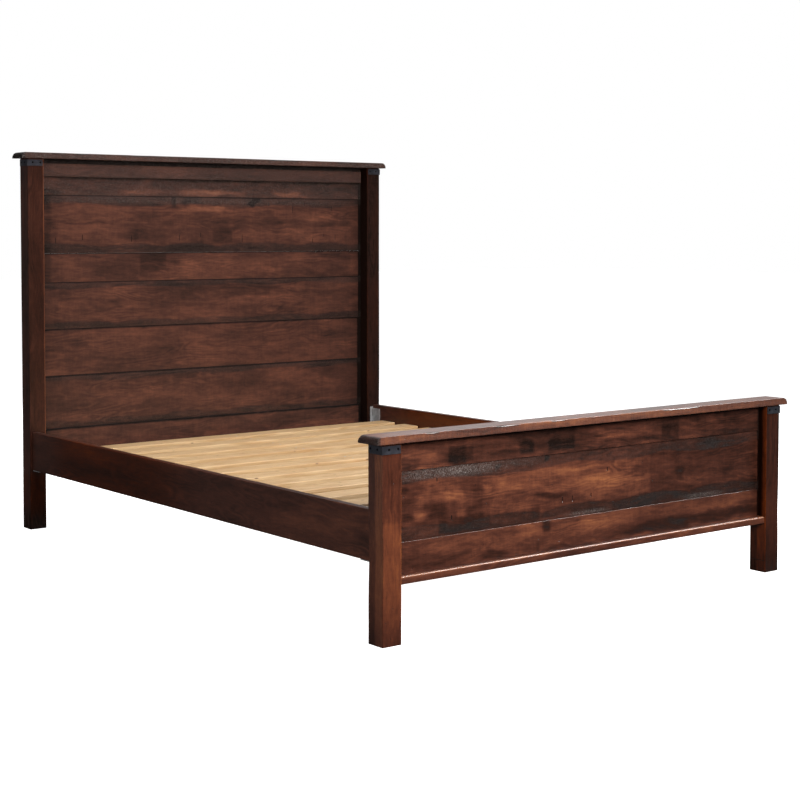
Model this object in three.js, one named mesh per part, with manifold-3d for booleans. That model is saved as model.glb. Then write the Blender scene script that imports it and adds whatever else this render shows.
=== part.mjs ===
// Rustic panel bed frame for a queen mattress: four square posts, a plank headboard and a plank
// footboard under thick caps, two side rails that hook into the posts, and a slatted deck on
// ledger cleats and a centre beam with three adjustable legs.
// Millimetres. X runs across the bed, Y from the foot to the head, Z up. The origin is on the
// floor under the middle of the bed.
import * as THREE from "three";
import { mergeVertices } from "three/addons/utils/BufferGeometryUtils.js";
import Module from "manifold-3d";

// ---- Driving dimensions ----
const FIT = 0.3; // gap kept between faces that meet

const WIDTH = 1613; // across the outer faces of the posts
const LENGTH = 2214; // along the outer faces of the posts
const POST = 63.5; // square section of a post
const FOOT_CAP_UNDERSIDE = 541;
const HEAD_CAP_UNDERSIDE = 1369;

const CAP_THICKNESS = 22;
const CAP_END_OVERHANG = 25;
const CAP_SIDE_OVERHANG = 12;

const BOARD_HALF_LENGTH = 730; // shouldered length of a panel board, from the middle of the bed
const END_TONGUE_LENGTH = 24.5; // the part of a board that runs on into the posts
const END_GROOVE_DEPTH = 12.4;
const EDGE_TONGUE_HEIGHT = 8;

const FOOT_PANEL = {
  back: -1060,
  tongueMiddle: -1071,
  edgeTongue: 7,
  endTongue: 10,
};
const HEAD_PANEL = {
  back: 1105,
  tongueMiddle: 1097,
  edgeTongue: 6,
  endTongue: 8,
};

// The boards of each panel from the bottom up: where each one starts, its front face, and the
// heights of the hewn bevels along its lower and upper edges, where it has them.
const HEWN_DEPTH = 3;
const FOOT_BOARDS = [
  { name: "foot_plank_lower", bottom: 182, front: -1085 },
  { name: "foot_plank_middle", bottom: 270, front: -1085, hewn: [28, 24] },
  { name: "foot_plank_top", bottom: 460, front: -1085 },
];
const HEAD_BOARDS = [
  { name: "head_bottom_rail", bottom: 222, front: 1080 },
  { name: "head_plank_6", bottom: 362, front: 1089, hewn: [24, 24] },
  { name: "head_plank_5", bottom: 560, front: 1089 },
  { name: "head_plank_4", bottom: 735, front: 1089, hewn: [24, 24] },
  { name: "head_plank_3", bottom: 910, front: 1089 },
  { name: "head_plank_2", bottom: 1018, front: 1089, hewn: [20, 26] },
  { name: "head_plank_1", bottom: 1237, front: 1089 },
];

const HEAD_TOP_RAIL = { bottom: 1305, top: 1353, front: 1072 };
const FOOT_MOULDING = { bottom: 160, top: 182, front: -1103 };

const STRAP = { height: 23, thickness: 2, leg: 62, belowCap: 4.5 };
const NAIL_HOLE_RADIUS = 1.8;
const NAIL_OFFSETS = [22.5, 52.8]; // from the outer corner of the strap
const NAIL_DROP = 10; // from the top edge of the strap

const RAIL = { outer: 797, thickness: 25, bottom: 220, top: 360 };
const CLEAT = { width: 25, bottom: 247, top: 279, halfLength: 980 };

const PLATE_THICKNESS = 2.5;
const HOOK_PLATE = { length: 50, bottom: 217.2, top: 345, flange: 26 };
const HOOK = { arm: 20, lip: 8, reach: 8, bottoms: [262, 312] };
const POST_PLATE = { width: 26, bottom: 232, top: 352, slotWidth: 6 };
const HOOK_POCKET = { width: 12, depth: 13, bottom: 246, top: 346 };

const BEAM = { width: 38, height: 64 };
const HANGER = { width: 68, height: 54, reach: 36, wall: 42 };
const CENTRE_LEG_POSITIONS = [-450, 0, 450];
const CENTRE_LEG_SIDE = 38;

const LEVELLER = { padRadius: 18, padHeight: 6, stemRadius: 5, stemTop: 60 };
const STEM_HOLE = { radius: 5.4, top: 66 };

const SLAT_COUNT = 13;
const SLAT = { width: 89, thickness: 19, halfLength: 768, pitch: 155 };

// ---- Places that follow from them ----
const postOuter = WIDTH / 2;
const postInner = postOuter - POST;
const postEnd = LENGTH / 2;
const postEndInner = postEnd - POST;
const railInner = RAIL.outer - RAIL.thickness;
const beamTop = CLEAT.top;
const beamBottom = beamTop - BEAM.height;
const hangerPlane = { foot: FOOT_PANEL.back + FIT, head: HEAD_BOARDS[0].front - FIT };

// ---- Materials ----
function finish(color, roughness, metalness = 0) {
  return new THREE.MeshStandardMaterial({ color, roughness, metalness });
}
const panelMaple = finish(0x5a3223, 0.42);
const postMaple = finish(0x5f3421, 0.42);
const capMaple = finish(0x4a2b20, 0.38);
const railMaple = finish(0x33201a, 0.4);
const slatPine = finish(0xc9a877, 0.7);
const blackIron = finish(0x2b2d33, 0.55, 0.8);
const zincSteel = finish(0x9a9b9d, 0.4, 0.9);
const levellerNylon = finish(0x1c1c1d, 0.6);

// ---- Solid modelling ----
const wasm = await Module();
wasm.setup();

function toSolid(geometry) {
  const bare = geometry.clone();
  bare.deleteAttribute("normal");
  bare.deleteAttribute("uv");
  const merged = mergeVertices(bare, 1e-4);
  return new wasm.Manifold(
    new wasm.Mesh({
      numProp: 3,
      vertProperties: new Float32Array(merged.attributes.position.array),
      triVerts: new Uint32Array(merged.index.array),
    }),
  );
}

function toGeometry(solid) {
  const mesh = solid.getMesh();
  const geometry = new THREE.BufferGeometry();
  geometry.setAttribute("position", new THREE.BufferAttribute(mesh.vertProperties, 3));
  geometry.setIndex(new THREE.BufferAttribute(mesh.triVerts, 1));
  return geometry;
}

function join(first, ...others) {
  return toGeometry(others.reduce((sum, part) => sum.add(toSolid(part)), toSolid(first)));
}

function cut(blank, ...cutters) {
  return toGeometry(cutters.reduce((left, tool) => left.subtract(toSolid(tool)), toSolid(blank)));
}

function common(first, second) {
  return toGeometry(toSolid(first).intersect(toSolid(second)));
}

// A box given by its two faces on each axis.
function box([x0, x1], [y0, y1], [z0, z1]) {
  return new THREE.BoxGeometry(x1 - x0, y1 - y0, z1 - z0).translate(
    (x0 + x1) / 2,
    (y0 + y1) / 2,
    (z0 + z1) / 2,
  );
}

// A flat outline from corners [u, v, radius]; a corner with a radius is rounded off.
function outline(corners) {
  const shape = new THREE.Shape();
  corners.forEach(([u, v, radius = 0], i) => {
    const corner = new THREE.Vector2(u, v);
    const before = new THREE.Vector2(...corners.at(i - 1).slice(0, 2));
    const after = new THREE.Vector2(...corners[(i + 1) % corners.length].slice(0, 2));
    const from = corner.clone().add(before.sub(corner).setLength(radius));
    const to = corner.clone().add(after.sub(corner).setLength(radius));
    if (i === 0) {
      shape.moveTo(from.x, from.y);
    } else {
      shape.lineTo(from.x, from.y);
    }
    if (radius > 0) {
      shape.quadraticCurveTo(corner.x, corner.y, to.x, to.y);
    }
  });
  return shape;
}

function extrude(shape, depth) {
  return new THREE.ExtrudeGeometry(shape, { depth, bevelEnabled: false, curveSegments: 5 });
}

// Extrusions of an outline drawn in (y, z) along X, in (z, x) along Y, and in (x, y) along Z.
function extrudeAlongX(shape, [x0, x1]) {
  const turn = new THREE.Matrix4().set(0, 0, 1, x0, 1, 0, 0, 0, 0, 1, 0, 0, 0, 0, 0, 1);
  return extrude(shape, x1 - x0).applyMatrix4(turn);
}

function extrudeAlongY(shape, [y0, y1]) {
  const turn = new THREE.Matrix4().set(0, 1, 0, 0, 0, 0, 1, y0, 1, 0, 0, 0, 0, 0, 0, 1);
  return extrude(shape, y1 - y0).applyMatrix4(turn);
}

function extrudeAlongZ(shape, [z0, z1]) {
  return extrude(shape, z1 - z0).translate(0, 0, z0);
}

// A pin along X or Y, used to bore holes.
function pin(radius, length, axis, x, y, z) {
  const round = new THREE.CylinderGeometry(radius, radius, length, 12);
  if (axis === "x") {
    round.rotateZ(Math.PI / 2);
  }
  return round.translate(x, y, z);
}

// ---- The assembly ----
const bed = new THREE.Group();

function add(name, geometry, material, { flipX = 1, flipY = 1, y = 0 } = {}) {
  const mesh = new THREE.Mesh(geometry, material);
  mesh.name = name;
  mesh.scale.set(flipX, flipY, 1);
  mesh.position.y = y;
  bed.add(mesh);
}

// Adds a piece made for the right-hand side and its mirror image on the left.
function addPair(name, geometry, material) {
  add(`${name}_right`, geometry, material);
  add(`${name}_left`, geometry, material, { flipX: -1 });
}

// Adds a piece made for the head right corner, and its mirror images in the other corners.
function addAtCorners(name, geometry, material) {
  add(`${name}_head_right`, geometry, material);
  add(`${name}_head_left`, geometry, material, { flipX: -1 });
  add(`${name}_foot_right`, geometry, material, { flipY: -1 });
  add(`${name}_foot_left`, geometry, material, { flipX: -1, flipY: -1 });
}

// A right-hand post. Its inner side face has a groove for the ends of the panel boards, and its
// face towards the side rail is let in for the slotted plate, with a pocket for the hooks.
function post({ end, capUnderside, panel, panelBottom }) {
  const top = capUnderside - FIT;
  const alongY = (from, to) => [Math.min(end * from, end * to), Math.max(end * from, end * to)];
  const blank = box([postInner, postOuter], alongY(postEndInner, postEnd), [0, top]);
  const grooveHalf = panel.endTongue / 2 + FIT;
  const groove = box(
    [postInner - 1, postInner + END_GROOVE_DEPTH],
    [panel.tongueMiddle - grooveHalf, panel.tongueMiddle + grooveHalf],
    [panelBottom - FIT, top + 1],
  );
  const plateMiddle = railInner - FIT - PLATE_THICKNESS / 2;
  const recess = box(
    [plateMiddle - POST_PLATE.width / 2 - FIT, plateMiddle + POST_PLATE.width / 2 + FIT],
    alongY(postEndInner - 1, postEndInner + PLATE_THICKNESS + FIT),
    [POST_PLATE.bottom - FIT, POST_PLATE.top + FIT],
  );
  const pocket = box(
    [plateMiddle - HOOK_POCKET.width / 2, plateMiddle + HOOK_POCKET.width / 2],
    alongY(postEndInner - 1, postEndInner + HOOK_POCKET.depth),
    [HOOK_POCKET.bottom, HOOK_POCKET.top],
  );
  return cut(blank, groove, recess, pocket);
}

// A cap board with a square front edge, a rounded back edge and ends rounded over on top.
function cap(end, underside) {
  const front = end < 0 ? -postEnd - CAP_SIDE_OVERHANG : postEndInner - CAP_SIDE_OVERHANG;
  const back = front + POST + 2 * CAP_SIDE_OVERHANG;
  const reach = postOuter + CAP_END_OVERHANG;
  const top = underside + CAP_THICKNESS;
  const section = outline([
    [front, underside, 2],
    [back, underside, 2],
    [back, top, 12],
    [front, top, 5],
  ]);
  const length = outline([
    [underside, -reach, 2],
    [top, -reach, 16],
    [top, reach, 16],
    [underside, reach, 2],
  ]);
  return common(
    extrudeAlongX(section, [-reach - 1, reach + 1]),
    extrudeAlongY(length, [front - 1, back + 1]),
  );
}

// A panel board: a tongue along its upper edge, a groove along its lower edge, and shoulders cut
// at both ends that leave a thin tongue to run into the posts. A hewn board's front is bevelled.
function board({ bottom, top, front, hewn, panel, lowest, highest }) {
  const { back, tongueMiddle, edgeTongue, endTongue } = panel;
  const low = lowest ? bottom : bottom + FIT / 2;
  const high = highest ? top - FIT : top - FIT / 2;
  const corners = hewn
    ? [
        [front, high - hewn[1]],
        [front, low + hewn[0]],
        [front + HEWN_DEPTH, low],
      ]
    : [[front, low, 1]];
  if (!lowest) {
    const half = edgeTongue / 2 + FIT;
    const grooveTop = low + EDGE_TONGUE_HEIGHT + FIT;
    corners.push([tongueMiddle - half, low], [tongueMiddle - half, grooveTop]);
    corners.push([tongueMiddle + half, grooveTop], [tongueMiddle + half, low]);
  }
  corners.push([back, low], [back, high]);
  if (!highest) {
    const half = edgeTongue / 2;
    const tongueTop = high + EDGE_TONGUE_HEIGHT;
    corners.push([tongueMiddle + half, high], [tongueMiddle + half, tongueTop]);
    corners.push([tongueMiddle - half, tongueTop], [tongueMiddle - half, high]);
  }
  corners.push(hewn ? [front + HEWN_DEPTH, high] : [front, high, 1]);
  const fullReach = BOARD_HALF_LENGTH + END_TONGUE_LENGTH;
  const blank = extrudeAlongX(outline(corners), [-fullReach, fullReach]);
  const heights = [low - 20, high + 20];
  const shoulders = [-1, 1].flatMap((side) => {
    const ends = side < 0 ? [-fullReach - 1, -BOARD_HALF_LENGTH] : [BOARD_HALF_LENGTH, fullReach + 1];
    return [
      box(ends, [front - 1, tongueMiddle - endTongue / 2], heights),
      box(ends, [tongueMiddle + endTongue / 2, back + 1], heights),
    ];
  });
  return cut(blank, ...shoulders);
}

function addPanel(boards, panel, capUnderside) {
  boards.forEach(({ name, ...sizes }, i) => {
    const top = i + 1 < boards.length ? boards[i + 1].bottom : capUnderside;
    const place = { lowest: i === 0, highest: i + 1 === boards.length };
    add(name, board({ ...sizes, ...place, top, panel }), panelMaple);
  });
}

// The flat rail laid on the top plank of the headboard.
function headTopRail() {
  const { bottom, top, front } = HEAD_TOP_RAIL;
  const back = HEAD_BOARDS.at(-1).front - FIT;
  const section = outline([
    [front, bottom, 1.5],
    [back, bottom],
    [back, top],
    [front, top, 1.5],
  ]);
  return extrudeAlongX(section, [-BOARD_HALF_LENGTH, BOARD_HALF_LENGTH]);
}

// The moulding under the footboard planks, with a rounded nose.
function footMoulding() {
  const { bottom, top, front } = FOOT_MOULDING;
  const section = outline([
    [front, bottom, 4],
    [FOOT_PANEL.back, bottom],
    [FOOT_PANEL.back, top - FIT],
    [front, top - FIT, 5],
  ]);
  return extrudeAlongX(section, [-postInner + FIT, postInner - FIT]);
}

// The iron strap around the outer front corner of a right-hand post, with two nail holes a leg.
function strap(frontY, capUnderside) {
  const inX = postOuter + FIT;
  const outX = inX + STRAP.thickness;
  const inY = frontY - FIT;
  const outY = inY - STRAP.thickness;
  const top = capUnderside - STRAP.belowCap;
  const angle = outline([
    [outX, outY, 1.5],
    [outX, outY + STRAP.leg],
    [inX, outY + STRAP.leg],
    [inX, inY],
    [outX - STRAP.leg, inY],
    [outX - STRAP.leg, outY],
  ]);
  const blank = extrudeAlongZ(angle, [top - STRAP.height, top]);
  const bore = 4 * STRAP.thickness;
  const holes = NAIL_OFFSETS.flatMap((offset) => [
    pin(NAIL_HOLE_RADIUS, bore, "y", outX - offset, outY, top - NAIL_DROP),
    pin(NAIL_HOLE_RADIUS, bore, "x", outX, outY + offset, top - NAIL_DROP),
  ]);
  return cut(blank, ...holes);
}

// A right-hand side rail with eased upper edges.
function sideRail() {
  const section = outline([
    [RAIL.bottom, railInner, 1.5],
    [RAIL.bottom, RAIL.outer, 1.5],
    [RAIL.top, RAIL.outer, 3],
    [RAIL.top, railInner, 3],
  ]);
  return extrudeAlongY(section, [-postEndInner + FIT, postEndInner - FIT]);
}

function cleat() {
  const inner = railInner - FIT - CLEAT.width;
  return box([inner, railInner - FIT], [-CLEAT.halfLength, CLEAT.halfLength], [CLEAT.bottom, CLEAT.top]);
}

// The steel plate on the inner face of a rail end: two hooks past the end, and a flange below.
function hookPlate() {
  const railEnd = postEndInner - FIT;
  const start = railEnd - HOOK_PLATE.length;
  const lipStart = postEndInner + PLATE_THICKNESS + 2 * FIT;
  const tip = lipStart + HOOK.reach;
  const corners = [
    [start, HOOK_PLATE.bottom],
    [railEnd, HOOK_PLATE.bottom],
  ];
  HOOK.bottoms.forEach((bottom) => {
    corners.push([railEnd, bottom], [lipStart, bottom], [lipStart, bottom - HOOK.lip]);
    corners.push([tip, bottom - HOOK.lip], [tip, bottom + HOOK.arm], [railEnd, bottom + HOOK.arm]);
  });
  corners.push([railEnd, HOOK_PLATE.top], [start, HOOK_PLATE.top]);
  const outer = railInner - FIT;
  const inner = outer - PLATE_THICKNESS;
  const flange = box(
    [inner, inner + HOOK_PLATE.flange],
    [start, railEnd],
    [HOOK_PLATE.bottom, HOOK_PLATE.bottom + PLATE_THICKNESS],
  );
  return join(extrudeAlongX(outline(corners), [inner, outer]), flange);
}

// The slotted plate let flush into the face of a post, which takes the hooks.
function postPlate() {
  const middle = railInner - FIT - PLATE_THICKNESS / 2;
  const half = POST_PLATE.width / 2;
  const plate = box(
    [middle - half, middle + half],
    [postEndInner, postEndInner + PLATE_THICKNESS],
    [POST_PLATE.bottom, POST_PLATE.top],
  );
  const slots = HOOK.bottoms.map((bottom) =>
    box(
      [middle - POST_PLATE.slotWidth / 2, middle + POST_PLATE.slotWidth / 2],
      [postEndInner - 1, postEndInner + PLATE_THICKNESS + 1],
      [bottom - FIT, bottom + HOOK.arm + HOOK.lip + 1],
    ),
  );
  return cut(plate, ...slots);
}

// The steel cradle that holds an end of the centre beam, drawn with its plate's back at y = 0.
function beamHanger() {
  const bottom = beamBottom - FIT - PLATE_THICKNESS;
  const wallIn = BEAM.width / 2 + FIT;
  const wallOut = wallIn + PLATE_THICKNESS;
  const depth = [PLATE_THICKNESS / 2, HANGER.reach];
  return join(
    box([-HANGER.width / 2, HANGER.width / 2], [0, PLATE_THICKNESS], [bottom, bottom + HANGER.height]),
    box([-wallOut, wallOut], depth, [bottom, bottom + PLATE_THICKNESS]),
    box([-wallOut, -wallIn], depth, [bottom, bottom + HANGER.wall]),
    box([wallIn, wallOut], depth, [bottom, bottom + HANGER.wall]),
  );
}

function centreBeam() {
  const start = hangerPlane.foot + PLATE_THICKNESS + FIT;
  const stop = hangerPlane.head - PLATE_THICKNESS - FIT;
  return box([-BEAM.width / 2, BEAM.width / 2], [start, stop], [beamBottom, beamTop]);
}

// A square centre leg with a blind hole up its middle for the leveller's stem.
function centreLeg() {
  const half = CENTRE_LEG_SIDE / 2;
  const bottom = LEVELLER.padHeight + FIT;
  const blank = box([-half, half], [-half, half], [bottom, beamBottom - FIT]);
  const hole = new THREE.CylinderGeometry(STEM_HOLE.radius, STEM_HOLE.radius, STEM_HOLE.top, 24)
    .rotateX(Math.PI / 2)
    .translate(0, 0, STEM_HOLE.top / 2);
  return cut(blank, hole);
}

// A levelling foot: a round pad that stands on the floor, and the stem above it.
function leveller() {
  const { padRadius, padHeight, stemRadius, stemTop } = LEVELLER;
  const profile = [
    [0, 0],
    [padRadius - 1.5, 0],
    [padRadius, 1.5],
    [padRadius, padHeight - 1.5],
    [padRadius - 1.5, padHeight],
    [stemRadius, padHeight],
    [stemRadius, stemTop - 1],
    [stemRadius - 1, stemTop],
    [0, stemTop],
  ].map(([radius, height]) => new THREE.Vector2(radius, height));
  return new THREE.LatheGeometry(profile, 24).rotateX(Math.PI / 2);
}

// A deck slat that lies across the cleats and the centre beam, with eased long edges.
function slat() {
  const bottom = CLEAT.top + FIT;
  const top = bottom + SLAT.thickness;
  const half = SLAT.width / 2;
  const section = outline([
    [-half, bottom, 2],
    [half, bottom, 2],
    [half, top, 2],
    [-half, top, 2],
  ]);
  return extrudeAlongX(section, [-SLAT.halfLength, SLAT.halfLength]);
}

// ---- Headboard and footboard ----
addPair(
  "head_post",
  post({
    end: 1,
    capUnderside: HEAD_CAP_UNDERSIDE,
    panel: HEAD_PANEL,
    panelBottom: HEAD_BOARDS[0].bottom,
  }),
  postMaple,
);
addPair(
  "foot_post",
  post({
    end: -1,
    capUnderside: FOOT_CAP_UNDERSIDE,
    panel: FOOT_PANEL,
    panelBottom: FOOT_BOARDS[0].bottom,
  }),
  postMaple,
);
add("head_cap", cap(1, HEAD_CAP_UNDERSIDE), capMaple);
add("foot_cap", cap(-1, FOOT_CAP_UNDERSIDE), capMaple);
addPanel(HEAD_BOARDS, HEAD_PANEL, HEAD_CAP_UNDERSIDE);
addPanel(FOOT_BOARDS, FOOT_PANEL, FOOT_CAP_UNDERSIDE);
add("head_top_rail", headTopRail(), panelMaple);
add("foot_moulding", footMoulding(), panelMaple);
addPair("head_strap", strap(postEndInner, HEAD_CAP_UNDERSIDE), blackIron);
addPair("foot_strap", strap(-postEnd, FOOT_CAP_UNDERSIDE), blackIron);

// ---- Side rails and their knock-down hardware ----
addPair("side_rail", sideRail(), railMaple);
addPair("cleat", cleat(), slatPine);
addAtCorners("hook_plate", hookPlate(), zincSteel);
addAtCorners("post_plate", postPlate(), zincSteel);

// ---- Centre beam, legs and slats ----
add("centre_beam", centreBeam(), slatPine);
add("beam_hanger_foot", beamHanger(), zincSteel, { y: hangerPlane.foot });
add("beam_hanger_head", beamHanger(), zincSteel, { y: hangerPlane.head, flipY: -1 });
CENTRE_LEG_POSITIONS.forEach((y, i) => {
  add(`centre_leg_${i + 1}`, centreLeg(), slatPine, { y });
  add(`leveller_${i + 1}`, leveller(), levellerNylon, { y });
});
for (let i = 0; i < SLAT_COUNT; i++) {
  const y = (i - (SLAT_COUNT - 1) / 2) * SLAT.pitch;
  add(`slat_${String(i + 1).padStart(2, "0")}`, slat(), slatPine, { y });
}

export default bed;
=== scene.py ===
import math

import bmesh
import bpy
import numpy as np
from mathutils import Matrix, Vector


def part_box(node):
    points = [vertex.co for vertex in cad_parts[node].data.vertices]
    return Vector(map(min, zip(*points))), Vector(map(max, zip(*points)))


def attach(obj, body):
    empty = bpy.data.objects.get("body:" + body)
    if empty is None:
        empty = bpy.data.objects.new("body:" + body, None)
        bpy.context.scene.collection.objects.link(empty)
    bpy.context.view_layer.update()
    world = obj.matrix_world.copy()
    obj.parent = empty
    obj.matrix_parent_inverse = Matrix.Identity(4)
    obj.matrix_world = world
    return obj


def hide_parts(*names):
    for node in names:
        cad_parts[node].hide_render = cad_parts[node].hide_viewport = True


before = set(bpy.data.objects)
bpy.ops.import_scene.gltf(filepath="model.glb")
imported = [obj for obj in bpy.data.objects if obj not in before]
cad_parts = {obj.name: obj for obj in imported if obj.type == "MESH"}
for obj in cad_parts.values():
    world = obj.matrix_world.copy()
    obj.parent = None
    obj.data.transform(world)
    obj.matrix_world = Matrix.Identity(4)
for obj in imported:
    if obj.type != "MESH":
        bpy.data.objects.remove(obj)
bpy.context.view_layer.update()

# Looks for the panel bed frame: hand-hewn stained maple, black iron straps and a pine slat deck.
# Everything is in metres in the frame's own axes: X across the bed, Y from foot to head, Z up.

MM = 0.001
BED = "bed"  # the body that everything but the levelling feet belongs to


# ---- Repeatable noise ----
def lattice(column, row, seed):
    """Random numbers from 0 to 1, one for each whole-number grid point."""
    n = column.astype(np.int64) * 374761393 + row.astype(np.int64) * 668265263 + seed * 1274126177
    n = n & 0x7FFFFFFF
    n = ((n ^ (n >> 13)) * 1103515245) & 0x7FFFFFFF
    return ((n ^ (n >> 16)) & 0xFFFF) / 0xFFFF


def soft_noise(x, y, seed):
    """Smooth noise from -1 to 1 with one bump for each unit of x and y."""
    x, y = np.broadcast_arrays(x, y)
    column, row = np.floor(x), np.floor(y)
    across, up = x - column, y - row
    across = across * across * (3 - 2 * across)
    up = up * up * (3 - 2 * up)
    low = lattice(column, row, seed) * (1 - across) + lattice(column + 1, row, seed) * across
    high = lattice(column, row + 1, seed) * (1 - across) + lattice(column + 1, row + 1, seed) * across
    return (low * (1 - up) + high * up) * 2 - 1


def swell(x, y, seed):
    """Smooth noise from 0 to 1."""
    return 0.5 + 0.5 * soft_noise(x, y, seed)


def fractal(x, y, seed, octaves=4):
    """Layers of soft noise, each twice as fine and half as strong as the one before."""
    total, strength = 0, 1
    for octave in range(octaves):
        total += strength * soft_noise(x * 2**octave, y * 2**octave, seed + octave)
        strength /= 2
    return total


# ---- Meshes swept along an axis ----
ARC_STEPS = 3  # in the rounding of each corner of a ring
CREASE = math.radians(38)  # shading is soft across edges that turn less than this
AXES = {"x": (0, 1, 2), "y": (1, 0, 2), "z": (2, 0, 1)}  # where s, u and v land in x, y, z


def eased_ring(low, high, radii, steps):
    """Points (u, v) round a rectangle. radii are those of the corners low-low, high-low, high-high
    and low-high, and steps are the point spacings of the sides that follow each corner."""
    corners = [(low[0], low[1]), (high[0], low[1]), (high[0], high[1]), (low[0], high[1])]
    signs = [(1, 1), (-1, 1), (-1, -1), (1, -1)]
    arcs = []
    for i, ((u, v), (su, sv), radius) in enumerate(zip(corners, signs, radii)):
        turn = np.radians(180 + 90 * i + np.linspace(0, 90, ARC_STEPS + 1))
        centre = np.array([u + su * radius, v + sv * radius])
        arcs.append(centre + radius * np.stack([np.cos(turn), np.sin(turn)], 1))
    ring = []
    for i, arc in enumerate(arcs):
        start, stop = arc[-1], arcs[(i + 1) % 4][0]
        count = max(1, round(float(np.linalg.norm(stop - start)) / steps[i]))
        ring.extend(arc)
        ring.extend(start + (stop - start) * k / count for k in range(1, count))
    return np.array(ring)


def spaced(start, stop, step):
    """Evenly spaced values from start to stop, about step apart."""
    return np.linspace(start, stop, max(2, round((stop - start) / step) + 1))


def add_object(name, data):
    """An object that holds the data, in the scene."""
    made = bpy.data.objects.new(name, data)
    bpy.context.scene.collection.objects.link(made)
    return made


def solid(name, points, faces, material, paint=None):
    """A mesh object from points and faces, with outward faces and soft shading up to a crease. paint
    holds the values that its material reads at each point, by name."""
    mesh = bpy.data.meshes.new(name)
    mesh.from_pydata([tuple(p) for p in points], [], faces)
    work = bmesh.new()
    work.from_mesh(mesh)
    bmesh.ops.recalc_face_normals(work, faces=work.faces)
    work.to_mesh(mesh)
    work.free()
    mesh.polygons.foreach_set("use_smooth", [True] * len(mesh.polygons))
    mesh.set_sharp_from_angle(angle=CREASE)
    for label, values in (paint or {}).items():
        layer = mesh.attributes.new(label, "FLOAT", "POINT")
        layer.data.foreach_set("value", np.asarray(values, np.float32).ravel())
    mesh.materials.append(material)
    return add_object(name, mesh)


def sweep(node, suffix, axis, stations, ring, look, seed, shape, colour=None):
    """A closed solid that carries a ring of (u, v) points along an axis, in place of a CAD node.
    look is the name of its material, shape(s, u, v) returns the three moved, and colour(s, u, v)
    returns the paint values there."""
    s, u = np.meshgrid(stations, ring[:, 0], indexing="ij")
    v = np.broadcast_to(ring[:, 1], s.shape)
    points = np.zeros(s.shape + (3,))
    for place, values in zip(AXES[axis], shape(s, u, v)):
        points[..., place] = values
    rows, columns = s.shape
    index = np.arange(rows * columns).reshape(rows, columns)
    after = np.roll(index, -1, axis=1)
    quads = np.stack([index[:-1], after[:-1], after[1:], index[1:]], -1).reshape(-1, 4).tolist()
    quads.append(index[0].tolist())
    quads.append(index[-1].tolist())
    paint = colour(s, u, v) if colour else None
    piece = solid(node + suffix, points.reshape(-1, 3), quads, MATERIALS[look], paint)
    piece["grain_seed"] = float(seed)
    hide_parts(node)
    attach(piece, BED)


# ---- Materials ----
def linear(*srgb):
    """A colour given as 0 to 255 display values, as the shader's linear numbers."""
    parts = [c / 255 for c in srgb]
    return tuple(c / 12.92 if c <= 0.04045 else ((c + 0.055) / 1.055) ** 2.4 for c in parts) + (1,)


class NodeTree:
    """The nodes of a material or a world, with short calls for the kinds that are used here."""

    def __init__(self, owner):
        owner.use_nodes = True
        self.nodes = owner.node_tree.nodes
        self.links = owner.node_tree.links

    def put(self, value, socket):
        """Links an output to the socket, or sets a plain value on it."""
        if isinstance(value, bpy.types.NodeSocket):
            self.links.new(value, socket)
        else:
            socket.default_value = value

    def node(self, kind, inputs=(), **settings):
        made = self.nodes.new(kind)
        for label, value in settings.items():
            setattr(made, label, value)
        for key, value in dict(inputs).items():
            self.put(value, made.inputs[key])
        return made

    def math(self, operation, first, second=0.5):
        return self.node("ShaderNodeMath", {0: first, 1: second}, operation=operation).outputs[0]

    def times(self, first, second):
        return self.math("MULTIPLY", first, second)

    def total(self, *values):
        result = values[0]
        for value in values[1:]:
            result = self.math("ADD", result, value)
        return result

    def vector(self, operation, first, second):
        return self.node("ShaderNodeVectorMath", {0: first, 1: second}, operation=operation).outputs[0]

    def noise(self, place, scale=1, detail=3, roughness=0.55, distortion=0, output="Fac"):
        inputs = dict(Vector=place, Scale=scale, Detail=detail, Roughness=roughness, Distortion=distortion)
        return self.node("ShaderNodeTexNoise", inputs).outputs[output]

    def centred_noise(self, place, strength, **settings):
        """Noise that swings by strength to each side of nought."""
        return self.times(self.math("SUBTRACT", self.noise(place, **settings), 0.5), 2 * strength)

    def band(self, value, low, high, out_low=0, out_high=1):
        """Goes smoothly from out_low, where the value is at low, to out_high, where it is at high."""
        inputs = {0: value, 1: low, 2: high, 3: out_low, 4: out_high}
        return self.node("ShaderNodeMapRange", inputs, interpolation_type="SMOOTHSTEP").outputs[0]

    def mix(self, share, first, second):
        return self.node("ShaderNodeMix", {0: share, 6: first, 7: second}, data_type="RGBA").outputs[2]

    def ramp(self, value, stops):
        made = self.node("ShaderNodeValToRGB", {"Fac": value})
        elements = made.color_ramp.elements
        while len(elements) < len(stops):
            elements.new(0.5)
        for element, (place, colour) in zip(elements, stops):
            element.position = place
            element.color = colour
        return made.outputs["Color"]

    def attribute(self, label, kind="GEOMETRY"):
        return self.node("ShaderNodeAttribute", attribute_name=label, attribute_type=kind).outputs["Fac"]


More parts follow.
